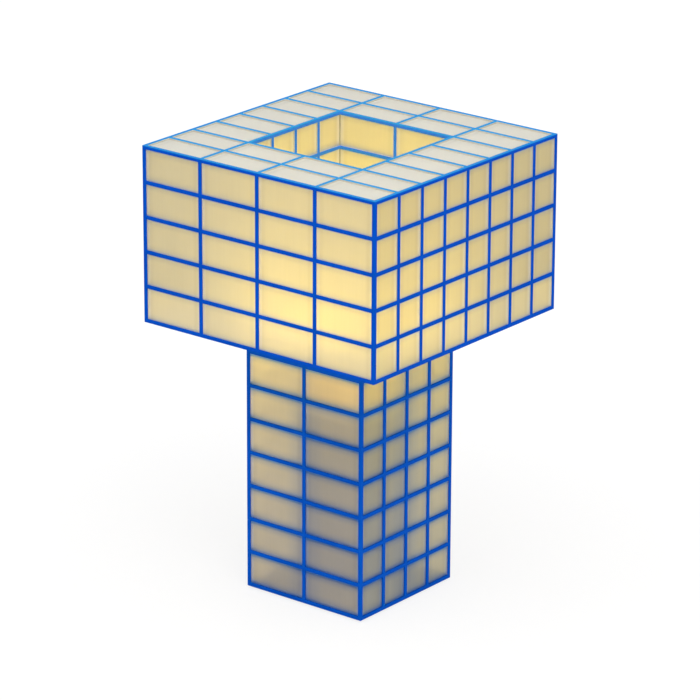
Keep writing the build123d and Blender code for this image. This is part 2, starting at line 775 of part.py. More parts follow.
with BuildPart() as board_screws:
    with BuildSketch(REAR.offset(board_back)):
        with Locations(*standoffs):
            Circle(BOARD_HEAD_RADIUS)
    extrude(amount=-BOARD_HEAD_HEIGHT)
    with BuildSketch(REAR.offset(board_back)):
        with Locations(*standoffs):
            Circle(BOARD_SCREW_RADIUS)
    extrude(amount=BOARD_SCREW_LENGTH)
save(board_screws.part, "board_screws")

# Charge port: a metal shell with a contact tongue
port_mouth = plate_face - PORT_SETBACK
with BuildPart() as charge_port:
    with BuildSketch(REAR.offset(board_front)):
        with Locations((port_x, control_z)):
            SlotOverall(PORT_WIDTH, PORT_HEIGHT)
    extrude(amount=port_mouth - board_front)
    with BuildSketch(REAR.offset(port_mouth - PORT_DEPTH)):
        with Locations((port_x, control_z)):
            SlotOverall(PORT_WIDTH - 2 * PORT_SHELL, PORT_HEIGHT - 2 * PORT_SHELL)
    extrude(amount=PORT_DEPTH, mode=Mode.SUBTRACT)
    with BuildSketch(REAR.offset(port_mouth - PORT_DEPTH)):
        with Locations((port_x, control_z)):
            Rectangle(TONGUE_WIDTH, TONGUE)
    extrude(amount=TONGUE_LENGTH)
save(charge_port.part, "charge_port")

# Push switch on the board and the button that works it
switch_face = board_front + SWITCH_DEPTH
with BuildPart() as push_switch:
    with BuildSketch(REAR.offset(board_front)):
        with Locations((button_x, control_z)):
            Rectangle(SWITCH_SIDE, SWITCH_SIDE)
    extrude(amount=SWITCH_DEPTH)
    with BuildSketch(REAR.offset(switch_face - SWITCH_BORE)):
        with Locations((button_x, control_z)):
            Circle(STEM_RADIUS + STEM_FIT)
    extrude(amount=SWITCH_BORE, mode=Mode.SUBTRACT)
save(push_switch.part, "push_switch")

button_seat = plate_back - BUTTON_PLAY
button_face = column_y / 2 + BUTTON_PROUD
with BuildPart() as power_button:
    with BuildSketch(REAR.offset(button_seat)):
        with Locations((button_x, control_z)):
            Circle(BUTTON_RADIUS)
    extrude(amount=button_face - button_seat)
    fillet(power_button.faces().sort_by(Axis.Y)[-1].edges(), EDGE_BREAK)
    with BuildSketch(REAR.offset(button_seat)):
        with Locations((button_x, control_z)):
            Circle(BUTTON_RADIUS + BUTTON_FLANGE_STEP)
    extrude(amount=-BUTTON_FLANGE)
    with BuildSketch(REAR.offset(button_seat)):
        with Locations((button_x, control_z)):
            Circle(STEM_RADIUS)
    extrude(amount=-(button_seat - switch_face + STEM_ENTRY))
save(power_button.part, "power_button")

# Port cover on its hinge pin
cover_length = 2 * COVER_MARGIN + PORT_WIDTH
cover_bottom = control_z - COVER_HEIGHT / 2
cover_back = plate_face + COVER_GAP
with BuildPart() as port_cover:
    with BuildSketch(REAR.offset(cover_back)):
        with Locations((hinge_x, control_z)):
            Rectangle(
                cover_length + KNUCKLE_RADIUS, COVER_HEIGHT, align=(Align.MAX, Align.CENTER),
            )
    extrude(amount=COVER_THICKNESS)
    free_end = port_cover.edges().filter_by(Axis.Y).group_by(Axis.X)[-1]
    fillet(free_end, COVER_CORNER)
    with BuildSketch(Plane.XY.offset(cover_bottom)):
        with Locations((-hinge_x, hinge_y)):
            Circle(KNUCKLE_RADIUS)
    extrude(amount=COVER_HEIGHT)
    with BuildSketch(REAR.offset(cover_back)):
        with Locations((port_x, control_z)):
            Rectangle(PLUG_WIDTH, PLUG_HEIGHT)
    extrude(amount=-(cover_back - port_mouth + PLUG_ENTRY))
    with BuildSketch(Plane.XY.offset(cover_bottom)):
        with Locations((-hinge_x, hinge_y)):
            Circle(PIN_RADIUS + PIN_FIT)
    extrude(amount=COVER_HEIGHT, mode=Mode.SUBTRACT)
save(port_cover.part, "port_cover")

with BuildPart() as cover_pin:
    with BuildSketch(Plane.XY.offset(ear_bottom)):
        with Locations((-hinge_x, hinge_y)):
            Circle(PIN_RADIUS)
    extrude(amount=ear_span)
save(cover_pin.part, "cover_pin")

# Lead from the control board, through the housing wall, up to the driver board
with BuildPart() as control_lead:
    with BuildLine():
        FilletPolyline(
            (-LEAD_X, board_back, lead_z),
            (-LEAD_X, lead_y, lead_z),
            (-LEAD_X, lead_y, driver_bottom),
            radius=LEAD_BEND,
        )
    with BuildSketch(Plane((-LEAD_X, board_back, lead_z), z_dir=(0, -1, 0))):
        Circle(LEAD_RADIUS)
    sweep()
save(control_lead.part, "control_lead")
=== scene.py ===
import math

import bmesh
import bpy
from mathutils import Matrix, Vector


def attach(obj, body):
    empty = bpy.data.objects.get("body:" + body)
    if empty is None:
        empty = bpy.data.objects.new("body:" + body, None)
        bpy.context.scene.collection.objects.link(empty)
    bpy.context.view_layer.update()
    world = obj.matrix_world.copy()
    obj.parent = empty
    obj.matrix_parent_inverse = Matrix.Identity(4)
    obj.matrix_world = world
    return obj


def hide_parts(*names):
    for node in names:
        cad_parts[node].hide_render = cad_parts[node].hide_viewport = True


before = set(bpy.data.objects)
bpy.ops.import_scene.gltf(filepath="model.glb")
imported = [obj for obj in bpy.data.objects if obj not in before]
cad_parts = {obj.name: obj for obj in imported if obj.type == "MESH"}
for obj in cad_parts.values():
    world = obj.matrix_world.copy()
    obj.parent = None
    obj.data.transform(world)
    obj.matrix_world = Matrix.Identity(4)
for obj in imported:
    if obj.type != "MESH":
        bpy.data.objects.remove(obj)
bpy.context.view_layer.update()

# Base weight and flange: a steel block with a thin rim that closes the column, screwed
# from below to a cut ring with gussets. The ring and the weight's rim are powder coated
# in the lamp's blue, and the block, which is inside the column, has a grey primer.
DEEP_BLUE = (0.0018, 0.096, 0.59, 1)
BRIGHT_BLUE = (0.0024, 0.110, 0.65, 1)
PRIMER = (0.25, 0.26, 0.26, 1)
PRIMER_EDGE = 0.0003


class Value:
    """A socket in a finish's node tree; sums and products of values add Math nodes."""

    def __init__(self, socket):
        self.socket = socket

    def node(self, kind, settings, sockets):
        """Add a node: its settings first, then numbers, colours or values on its sockets."""
        tree = self.socket.id_data
        made = tree.nodes.new(kind)
        for name, setting in settings.items():
            setattr(made, name, setting)
        for name, given in sockets.items():
            if isinstance(given, Value):
                tree.links.new(given.socket, made.inputs[name])
            else:
                made.inputs[name].default_value = given
        return Value(made.outputs[0])

    def out(self, key):
        """Another output of the node that this value comes from."""
        return Value(self.socket.node.outputs[key])

    def math(self, operation, first, second):
        """A Math node on two numbers or values."""
        return self.node("ShaderNodeMath", {"operation": operation}, {0: first, 1: second})

    def __add__(self, other):
        return self.math("ADD", self, other)

    def __radd__(self, other):
        return self.math("ADD", other, self)

    def __sub__(self, other):
        return self.math("SUBTRACT", self, other)

    def __rsub__(self, other):
        return self.math("SUBTRACT", other, self)

    def __mul__(self, other):
        return self.math("MULTIPLY", self, other)

    def __rmul__(self, other):
        return self.math("MULTIPLY", other, self)

    def __abs__(self):
        return self.math("ABSOLUTE", self, 0.0)

    def __lt__(self, other):
        return self.math("LESS_THAN", self, other)

    def __gt__(self, other):
        return self.math("GREATER_THAN", self, other)

    def ramp(self, start, end, low=0.0, high=1.0):
        """Smooth change from low to high, as this value goes from start to end."""
        return self.node(
            "ShaderNodeMapRange", {"interpolation_type": "SMOOTHSTEP"},
            {"Value": self, "From Min": start, "From Max": end, "To Min": low, "To Max": high},
        )

    def spread(self, near, far, low, high):
        """Smooth change from low to high, as this value goes from near to far of 0, either way."""
        return (self * self).ramp(near ** 2, far ** 2, low, high)

    def mix(self, low, high):
        """Colour between low and high, as this value goes from 0 to 1."""
        return self.node("ShaderNodeMix", {"data_type": "RGBA"}, {0: self, 6: low, 7: high}).out(2)

    def tint(self, colour):
        """A colour times this value."""
        return self.node("ShaderNodeVectorMath", {"operation": "SCALE"}, {0: colour, "Scale": self})

    def plus(self, colour):
        """This colour plus another."""
        return self.node("ShaderNodeVectorMath", {"operation": "ADD"}, {0: self, 1: colour})

    def stretched(self, shares):
        """A place with each of its axes times a share."""
        return self.node("ShaderNodeVectorMath", {"operation": "MULTIPLY"}, {0: self, 1: shares})

    def noise(self, scale, detail=2.0, stretch=(1.0, 1.0, 1.0)):
        """Cloudy variation over the place that this value gives, 0 to 1."""
        return self.node(
            "ShaderNodeTexNoise", {},
            {"Vector": self.stretched(stretch), "Scale": scale, "Detail": detail},
        )

    def bump(self, depth, strength):
        """Normal of a surface whose height is this value times depth, in metres."""
        return self.node("ShaderNodeBump", {}, {"Height": self, "Distance": depth, "Strength": strength})

    def axes(self):
        """X, Y and Z of a place."""
        x = self.node("ShaderNodeSeparateXYZ", {}, {"Vector": self})
        return x, x.out("Y"), x.out("Z")

    def off_axis(self):
        """How far a place is from the lamp's axis."""
        level = self.stretched((1.0, 1.0, 0.0))
        return self.node("ShaderNodeVectorMath", {"operation": "LENGTH"}, {0: level}).out("Value")


def finish(name):
    """A new finish, and the place on the object that its pattern follows."""
    material = bpy.data.materials.new(name)
    material.use_nodes = True
    return material, Value(material.node_tree.nodes.new("ShaderNodeTexCoord").outputs["Object"])


def coat(material, sockets):
    """Set the shader of a finish, with numbers, colours or values."""
    shader = material.node_tree.nodes["Principled BSDF"]
    for name, given in sockets.items():
        if isinstance(given, Value):
            material.node_tree.links.new(given.socket, shader.inputs[name])
        else:
            shader.inputs[name].default_value = given
    return material


def dress(material, *names):
    """Give CAD nodes a finish."""
    for name in names:
        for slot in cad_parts[name].material_slots:
            slot.material = material


def corners(name):
    """Lowest and highest corner of a CAD node."""
    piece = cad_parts[name]
    places = [piece.matrix_world @ Vector(corner) for corner in piece.bound_box]
    return tuple(map(min, *places)), tuple(map(max, *places))


def powder_coat(name, deep, bright, touch=lambda place, blue: blue):
    """Baked powder coat: a fine orange peel and slight drifts of tone. Touch changes its blue."""
    material, place = finish(name)
    peel = place.noise(1400.0)
    blue = place.noise(45.0, detail=3.0).ramp(0.3, 0.7).mix(deep, bright)
    return coat(material, {
        "Base Color": touch(place, blue),
        "Roughness": 0.40 + 0.14 * peel,
        "Specular IOR Level": 0.01,
        "Normal": peel.bump(depth=0.00005, strength=0.5),
    })


def primed(place, blue):
    """Blue round the rim of the weight, and primer from its upper face on."""
    rim_top = corners("base_flange")[0][2]
    return place.axes()[2].ramp(rim_top - PRIMER_EDGE, rim_top).mix(blue, PRIMER)


blue_coat = powder_coat("blue_powder_coat", DEEP_BLUE, BRIGHT_BLUE)
dress(blue_coat, "base_flange")
dress(powder_coat("weight_coat", DEEP_BLUE, BRIGHT_BLUE, primed), "base_weight")

# Screws, nuts and bolts: bought steel parts with a bright zinc plating. They hold the
# base to the column, the core to the base, and the shade to the column. The control board
# has its own screws, and a plain pin carries the port cover.
ZINC_DULL = (0.50, 0.51, 0.53, 1)
ZINC_BRIGHT = (0.66, 0.66, 0.64, 1)
material, place = finish("zinc_plating")
cloud = place.noise(600.0, detail=3.0)
dress(
    coat(material, {
        "Base Color": cloud.mix(ZINC_DULL, ZINC_BRIGHT),
        "Metallic": 1.0,
        "Roughness": 0.26 + 0.20 * cloud,
        "Normal": place.noise(2500.0).bump(depth=0.00002, strength=0.4),
    }),
    "base_screws", "base_nuts", "housing_screws", "spreader_screws",
    "shade_bolts", "shade_nuts", "board_screws", "cover_pin",
)

# Feet and globe seal: soft grey silicone, punched from sheet. The feet are bonded under
# the weight, and the seal lies in the seat of the globe.
SILICONE_DARK = (0.095, 0.097, 0.10, 1)
SILICONE_DUSTY = (0.16, 0.16, 0.165, 1)
material, place = finish("grey_silicone")
dust = place.noise(900.0, detail=4.0)
dress(
    coat(material, {
        "Base Color": dust.mix(SILICONE_DARK, SILICONE_DUSTY),
        "Roughness": 0.62 + 0.2 * dust,
        "Normal": dust.bump(depth=0.00004, strength=0.5),
    }),
    "feet", "globe_seal",
)


# Core housing, trays and leads: dark moulded plastic with a fine eroded texture, as on the
# switch and the coil. The housing is screwed to the weight, its trays clamp the cells, and
# two sleeved leads run from the controls to the driver and from there to the light board.
def moulded(name, dark, light, roughness, grain=0.00003):
    """Moulded plastic or rubber with the fine texture of its tool."""
    material, place = finish(name)
    sparkle = place.noise(2200.0, detail=3.0)
    return coat(material, {
        "Base Color": place.noise(70.0, detail=3.0).ramp(0.3, 0.7).mix(dark, light),
        "Roughness": roughness + 0.16 * (sparkle - 0.5),
        "Specular IOR Level": 0.35,
        "Normal": sparkle.bump(depth=grain, strength=0.6),
    })


dress(
    moulded("housing_grey", (0.030, 0.030, 0.029, 1), (0.040, 0.040, 0.038, 1), roughness=0.55),
    "core_housing",
)
dress(
    moulded("tray_black", (0.018, 0.018, 0.02, 1), (0.03, 0.03, 0.033, 1), roughness=0.5),
    "battery_trays", "push_switch", "driver_coil",
)
dress(
    moulded("lead_sleeve_black", (0.015, 0.015, 0.016, 1), (0.028, 0.028, 0.03, 1), roughness=0.45),
    "control_lead", "lamp_lead",
)

# Battery cells: two steel cans in a green sleeve, which is shrunk on with heat and is a
# little wrinkled along its length. They stand upright between the trays.
SLEEVE_DARK = (0.03, 0.20, 0.14, 1)
SLEEVE_LIGHT = (0.05, 0.27, 0.19, 1)
material, place = finish("cell_sleeve")
wrinkle = place.noise(160.0, stretch=(1.0, 1.0, 0.25))
dress(
    coat(material, {
        "Base Color": wrinkle.mix(SLEEVE_DARK, SLEEVE_LIGHT),
        "Roughness": 0.30 + 0.15 * wrinkle,
        "Normal": wrinkle.bump(depth=0.0001, strength=0.3),
    }),
    "battery_cells",
)

# Driver and control boards: glass-fibre board under green solder mask, with the faint
# relief of the tracks below it. One lies over the battery, and one behind the controls.
MASK_DARK = (0.012, 0.10, 0.045, 1)
MASK_LIGHT = (0.03, 0.19, 0.085, 1)
material, place = finish("solder_mask")
tracks = place.noise(420.0, detail=1.0, stretch=(1.0, 0.15, 1.0)).ramp(0.42, 0.58)
dress(
    coat(material, {
        "Base Color": tracks.mix(MASK_DARK, MASK_LIGHT),
        "Roughness": 0.32 + 0.12 * tracks,
        "Normal": tracks.bump(depth=0.00004, strength=0.5),
    }),
    "driver_board", "control_board",
)

# Heat spreader and globe collar: turned aluminium, with the fine rings of the tool. The
# spreader is screwed to the lugs of the housing, and the collar clamps the globe to it.
ALUMINIUM = (0.47, 0.475, 0.485)
material, place = finish("turned_aluminium")
rings = place.node("ShaderNodeTexNoise", {"noise_dimensions": "1D"}, {
    "W": place.off_axis() + place.axes()[2], "Scale": 3200.0, "Detail": 2.0,
})
dress(
    coat(material, {
        "Base Color": rings.tint(ALUMINIUM).plus(ALUMINIUM),
        "Metallic": 1.0,
        "Roughness": 0.28 + 0.15 * rings,
        "Normal": rings.bump(depth=0.00003, strength=0.5),
    }),
    "heat_spreader", "globe_collar",
)

# Light board and emitters: an aluminium disc under white solder mask, with eight warm
# light chips soldered on in a ring. The board lies on the spreader.
WHITE_MASK = (0.74, 0.74, 0.71, 1)
WHITE_MASK_BRIGHT = (0.82, 0.82, 0.79, 1)
PHOSPHOR_DEEP = (0.80, 0.55, 0.10, 1)
PHOSPHOR_PALE = (0.95, 0.74, 0.24, 1)
CHIP_LIGHT_DEEP = (1.0, 0.70, 0.32, 1)
CHIP_LIGHT_PALE = (1.0, 0.80, 0.45, 1)
material, place = finish("white_mask")
haze = place.noise(500.0, detail=3.0)
dress(
    coat(material, {
        "Base Color": haze.mix(WHITE_MASK, WHITE_MASK_BRIGHT),
        "Roughness": 0.35 + 0.15 * haze,
    }),
    "led_board",
)
material, place = finish("chip_phosphor")
speck = place.noise(2600.0, detail=3.0)
dress(
    coat(material, {
        "Base Color": speck.mix(PHOSPHOR_DEEP, PHOSPHOR_PALE),
        "Roughness": 0.4,
        "Emission Color": speck.mix(CHIP_LIGHT_DEEP, CHIP_LIGHT_PALE),
        "Emission Strength": 4.0,
    }),
    "led_emitters",
)

# Globe: a blown opal cap over the light board. Its lower band is masked inside with amber
# lacquer, so the chips light the crown and the shade more than the column.
BAND_TOP = 0.136
BAND_FADE = 0.012
BAND_SHARE = 0.02
AMBER = (0.84, 0.63, 0.15, 1)
OPAL_DULL = (0.86, 0.80, 0.68, 1)
OPAL_BRIGHT = (0.92, 0.87, 0.76, 1)
GLOBE_LIGHT = 13.0
GLOBE_COLOUR = (1.0, 0.79, 0.09)
material, place = finish("opal_globe")
cloud = place.noise(55.0, detail=3.0)
crown = place.axes()[2].ramp(BAND_TOP, BAND_TOP + BAND_FADE)
brightness = (BAND_SHARE + (1.0 - BAND_SHARE) * crown) * (0.95 + 0.10 * cloud)
dress(
    coat(material, {
        "Base Color": crown.mix(AMBER, cloud.mix(OPAL_DULL, OPAL_BRIGHT)),
        "Roughness": 0.45,
        "Emission Color": brightness.tint(GLOBE_COLOUR),
        "Emission Strength": GLOBE_LIGHT,
    }),
    "globe",
)

# Column cage: four laser-cut steel grilles, welded at their edges, dressed smooth and
# powder coated. Their bars share one raster with the shade, with a bar's middle on each
# line. The narrow cells are a step wide, and those at the front and rear two steps.
COLUMN_ROWS = 8
grille_low, grille_high = corners("column_front_grille")
COLUMN_HALF, COLUMN_TOP, RASTER_FOOT = grille_high[0], grille_high[2], grille_low[2]
SHEET = grille_high[1] - grille_low[1]
STEP = (COLUMN_TOP - RASTER_FOOT) / COLUMN_ROWS
WIDE = 2 * STEP
BAR = 2 * (COLUMN_HALF - WIDE)
BAR_ROUND = 0.00026
SHARP = math.radians(40)
SMOOTH = math.radians(35)
FACING = 0.9
HAIR = 0.0001
TOUCH = 1e-5


def new_box(name, half, bottom, top):
    """A box round the axis, with its place in its mesh, open for editing."""
    bpy.ops.object.select_all(action="DESELECT")
    bpy.ops.mesh.primitive_cube_add(size=1.0, location=(0.0, 0.0, (bottom + top) / 2))
    piece = bpy.context.object
    piece.name = piece.data.name = name
    piece.scale = (2 * half, 2 * half, top - bottom)
    bpy.ops.object.transform_apply(location=True, rotation=True, scale=True)
    bpy.ops.object.mode_set(mode="EDIT")
    return piece


def cut(axis, places):
    """Cut the whole mesh across an axis, at each of the places."""
    for place in places:
        point, normal = [0.0, 0.0, 0.0], [0.0, 0.0, 0.0]
        point[axis], normal[axis] = place, 1.0
        bpy.ops.mesh.select_all(action="SELECT")
        bpy.ops.mesh.bisect(plane_co=point, plane_no=normal)


def pick(piece, chosen, kind="faces"):
    """Select the faces, edges or vertices of the open mesh that the function chooses."""
    bpy.ops.mesh.select_all(action="DESELECT")
    bpy.ops.mesh.select_mode(type={"faces": "FACE", "edges": "EDGE", "verts": "VERT"}[kind])
    mesh = bmesh.from_edit_mesh(piece.data)
    for part in getattr(mesh, kind):
        if chosen(part):
            part.select_set(True)
    mesh.select_flush_mode()
    bmesh.update_edit_mesh(piece.data)


def looks_along(face, axis):
    """Whether a face of a box looks along an axis, either way."""
    return abs(face.normal[axis]) > FACING


def in_bar(place, pitch, phase=0.0):
    """Whether a place across a raster lies on one of its bars."""
    return abs((place - phase + pitch / 2) % pitch - pitch / 2) < BAR / 2


def in_cell(face, rail=math.inf):
    """Whether a face of a cut cage is an open cell. No cell reaches above the rail."""
    middle = face.calc_center_median()
    on_x = looks_along(face, 0) or not in_bar(middle.x, WIDE)
    on_y = looks_along(face, 1) or not in_bar(middle.y, STEP)
    on_level = in_bar(middle.z, STEP, RASTER_FOOT + BAR / 2) or middle.z > rail
    return on_x and on_y and (looks_along(face, 2) or not on_level)


def bar_edges(pitch, half):
    """Both sides of every bar of a raster, within half of its middle."""
    count = int(half / pitch) + 1
    sides = [k * pitch + s * BAR / 2 for k in range(-count, count + 1) for s in (-1, 1)]
    return [side for side in sides if abs(side) < half - HAIR]


def level_edges(bottom, top):
    """Lower and upper side of every level bar between two heights."""
    count = int((top - RASTER_FOOT) / STEP) + 1
    sides = [RASTER_FOOT + k * STEP + s for k in range(count) for s in (0.0, BAR)]
    return [side for side in sides if bottom + HAIR < side < top - HAIR]


def weld_bars(piece, coat_finish):
    """Give the cut skin the thickness of its steel, dress its edges round and coat it."""
    bpy.ops.object.mode_set(mode="OBJECT")
    wall = piece.modifiers.new("steel", "SOLIDIFY")
    wall.thickness = SHEET
    wall.offset = -1.0
    wall.use_even_offset = True
    bpy.ops.object.modifier_apply(modifier=wall.name)
    edge = piece.modifiers.new("dressed", "BEVEL")
    edge.width = BAR_ROUND
    edge.segments = 3
    edge.limit_method = "ANGLE"
    edge.angle_limit = SHARP
    bpy.ops.object.modifier_apply(modifier=edge.name)
    bpy.ops.object.shade_smooth_by_angle(angle=SMOOTH)
    piece.data.materials.append(coat_finish)
    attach(piece, "lamp")


column_cage = new_box("column_cage", COLUMN_HALF, RASTER_FOOT, COLUMN_TOP)
pick(column_cage, lambda face: looks_along(face, 2))
bpy.ops.mesh.delete(type="FACE")
cut(0, bar_edges(WIDE, COLUMN_HALF))
cut(1, bar_edges(STEP, COLUMN_HALF))
cut(2, level_edges(RASTER_FOOT, COLUMN_TOP) + [COLUMN_TOP - BAR])
pick(column_cage, lambda face: in_cell(face, COLUMN_TOP - BAR))
bpy.ops.mesh.delete(type="FACE")
weld_bars(column_cage, blue_coat)
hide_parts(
    "column_front_grille", "column_rear_grille", "column_left_grille", "column_right_grille",
)
dress(blue_coat, "column_top_ring")

# Column sheets: opal plastic, bonded behind the bars. The bars' shade is painted on the sheet,
# with painted blue light along their edges. The light of the globe is painted in the sheets: it
# fades down the shaft, and a painted shadow of the core lies on the middle of each wall. The
# sheets are painted yellower towards the globe for its warm light, most of all at the left and
# right, and their face towards the lamp is painted warmer.
COLUMN_SHEET = COLUMN_HALF - 1.5 * SHEET
# Painted warm light of the globe: up the column, each sheet turns from its own colour to a yellower lit
# one.
COLUMN_WIDE_OPAL = (0.76, 0.71, 0.66)
COLUMN_WIDE_GLOBE_LIT = (0.76, 0.71, 0.64, 1)
COLUMN_NARROW_OPAL = (0.665, 0.66, 0.60)
COLUMN_NARROW_GLOBE_LIT = (0.665, 0.63, 0.43, 1)
COLUMN_GLOBE_LIGHT_RISE = (0.05, 0.14)
# Shares and colours of painted light and shade: the warmer face towards the lamp, the bars' painted
# shade, the painted light in the sheets, shaded and not, and the bars' painted blue light.
LAMPLIT_FACE_SHARE = (1.0, 0.96, 0.78)
SHADED_SHARE = (0.10, 0.36, 1.1)
LAMPLIGHT = (1.0, 0.75, 0.14, 1)
LAMPLIGHT_SHADED = (0.05, 0.225, 0.14, 1)
BLUE_LIGHT = (0.0, 0.25, 1.0)
BAR_LAP = 0.0003
LEVEL_SPILL = (0.0004, 0.0018)
UPRIGHT_SPILL = (0.0008, 0.0026)
# Where the painted shadow line beside an upright rises and fades.
SHADOW_LINE_START = (0.0014, 0.0026)
SHADOW_LINE_END = (0.0028, 0.0055)
SHAFT = (0.02, 0.15)
COLLAR_EDGE = (0.112, 0.122)
CORE_SHADOW = 0.0141
CORE_LEE = 0.02


def off_bar(across, pitch):
    """How far a place across a raster is from the nearest bar's edge; below 0 on a bar."""
    return across.math("PINGPONG", across, pitch / 2) - BAR / 2


def times(colour, shares):
    """A colour with each of its parts times a share."""
    return (*(part * share for part, share in zip(colour, shares)), 1)


def no_light(run, z):
    """No light at any place along the wall and up it."""
    return 0.0


def opal(name, across, pitch, middle, colour, glow, lit, inner="LESS_THAN", dim=no_light, painted_light_tint=None,
         shade=0.17, reach=0.0045, rim=0.34, contact=0.0013, under=1.0, side=0.15,
         spill=0.06, clear=0.60, frost=0.50):
    """Opal sheet behind bars, with its middle that far from the lamp's axis. Glow is the light
    painted in it and lit the light painted on its inner face, at a place along the wall and up it,
    and dim is the share that a painted shadow takes there. A tint, if given, is a yellower colour of
    painted light, and the heights between which it takes over. The bars' shade is painted on the
    outer face: softly by shade within reach and more by rim within contact, under times as much
    below a level bar and side times beside an upright. Spill is the painted blue light that the bars
    throw on it. Clear is the share of light that passes, and frost is how far it scatters."""
    material, place = finish(name)
    axes = place.axes()
    run, z = axes[across], axes[2]
    inside = place.math(inner, abs(axes[1 - across]), middle)
    height = place.math("FLOORED_MODULO", z - RASTER_FOOT, STEP)
    over_bar, under_bar, beside = height - BAR, STEP - height, off_bar(run, pitch)

    # Painted shade of the bars: soft within reach, and deeper within contact.
    def painted_bar_shade(gap):
        return gap.ramp(-BAR_LAP, reach, shade, 0.0) + gap.ramp(0.0, contact, rim, 0.0)

    dark = (1.0 - inside) * (painted_bar_shade(over_bar) + under * painted_bar_shade(under_bar) + side * painted_bar_shade(beside))
    dark = dark + dim(run, z)
    # Painted blue light that the bars throw on the sheet beside them.
    near_level = place.math("MINIMUM", over_bar, under_bar).ramp(*LEVEL_SPILL, spill, 0.0)
    near_upright = beside.ramp(*UPRIGHT_SPILL, 1.5 * spill, 0.0)
    painted_blue_bounce = (1.0 - inside) * place.math("MAXIMUM", near_level, near_upright)
    # The tone holds a painted shadow line a little way beside each upright, and the sheet's real grain
    # and cloud.
    painted_shadow_line = beside.ramp(*SHADOW_LINE_START) * beside.ramp(*SHADOW_LINE_END, 0.06, 0.0)
    grain = place.noise(1.0, stretch=(700.0, 700.0, 30.0))
    cloud = place.noise(60.0)
    tone = 1.0 - painted_shadow_line + 0.07 * (grain - 0.5) + 0.06 * (cloud - 0.5)
    # Painted light of the globe, in the sheet and on its inner face, where that face is seen from the
    # front.
    behind = place.node("ShaderNodeNewGeometry", {}, {}).out("Backfacing")
    light = glow(run, z) + inside * (1.0 - behind) * lit(run, z)
    outer = (*colour, 1)
    if painted_light_tint:
        yellow, start, end = painted_light_tint
        outer = z.ramp(start, end).mix(outer, yellow)
    # The face towards the lamp is painted warmer, and the bars' painted shade turns the colour darker and
    # bluer.
    plain = inside.mix(outer, times(colour, LAMPLIT_FACE_SHARE))
    lamplight = (tone * light).tint(dark.mix(LAMPLIGHT, LAMPLIGHT_SHADED))
    return coat(material, {
        "Base Color": tone.tint(dark.mix(plain, times(colour, SHADED_SHARE))),
        "Roughness": frost + 0.10 * (grain - 0.5),
        "Specular IOR Level": 0.25,
        "IOR": 1.45,
        "Transmission Weight": clear,
        "Emission Color": lamplight.plus(painted_blue_bounce.tint(BLUE_LIGHT)),
        "Emission Strength": 1.0,
    })


def column_glow(run, z):
    """Light in the column's sheets, from none at the foot to most under the shade."""
    return z.ramp(*SHAFT, 0.0, 0.05)


def core_shade(run, z):
    """Painted shadow of the core on the middle of a wall, up to the collar of the globe."""
    return run.spread(0.0, CORE_SHADOW, 0.14, 0.0) * z.ramp(*COLLAR_EDGE, 1.0, 0.4)


def wide_lit(run, z):
    """Light on the inner face at the front and rear, where the core doesn't stand before it."""
    return z.ramp(*SHAFT, 0.56, 0.32) * run.spread(0.0, CORE_LEE, 0.0, 1.0)


def narrow_lit(run, z):
    """Light on the inner face at the left and right."""
    return z.ramp(*SHAFT, 0.37, 0.61)


COLUMN_WAY = {
    "dim": core_shade, "shade": 0.36, "reach": 0.0060, "rim": 0.46, "contact": 0.0026,
    "under": 1.5, "side": 0.24, "clear": 0.66, "frost": 0.34,
}
dress(
    opal(
        "column_opal_wide", 0, WIDE, COLUMN_SHEET, COLUMN_WIDE_OPAL, column_glow, wide_lit,
        painted_light_tint=(COLUMN_WIDE_GLOBE_LIT, *COLUMN_GLOBE_LIGHT_RISE), **COLUMN_WAY,
    ),
    "column_front_panel", "column_rear_panel",
)
dress(
    opal(
        "column_opal_narrow", 1, STEP, COLUMN_SHEET, COLUMN_NARROW_OPAL, column_glow, narrow_lit,
        painted_light_tint=(COLUMN_NARROW_GLOBE_LIT, *COLUMN_GLOBE_LIGHT_RISE), **COLUMN_WAY,
    ),
    "column_left_panel", "column_right_panel",
)

# Shade cage: outer walls, lid and well of cut steel grille, welded into one frame and
# powder coated. Light from above is painted as a paler blue on the top faces of the lid, and
# the light in the well as a brighter blue there. The flanks of the bars under the lid and in the
# well, and of the uprights at the sides, are pale.
lid_corner = corners("shade_top_grille")[1]
SHADE_HALF, SHADE_TOP = lid_corner[0], lid_corner[2]
SHADE_BOTTOM = corners("shade_front_grille")[0][2]
WELL_HALF = corners("well_right_grille")[0][0]
SHADE_DEEP_BLUE = (0.0014, 0.082, 0.58, 1)
SHADE_BRIGHT_BLUE = (0.0020, 0.094, 0.64, 1)
LID_TOP_LIT_BLUE = (0.028, 0.31, 0.70, 1)
WELL_LIT_BLUE = (0.04, 0.22, 0.92, 1)
PALE_FLANK = (0.74, 0.70, 0.58, 1)
INNER_FLANK = (0.00020, 0.00030)
SIDE_FLANK = (0.00050, 0.00060)
LID_FACE = (0.0002, 0.0005)
LID_RIM = (0.0005, 0.0030)
NEAR_WELL = 0.05


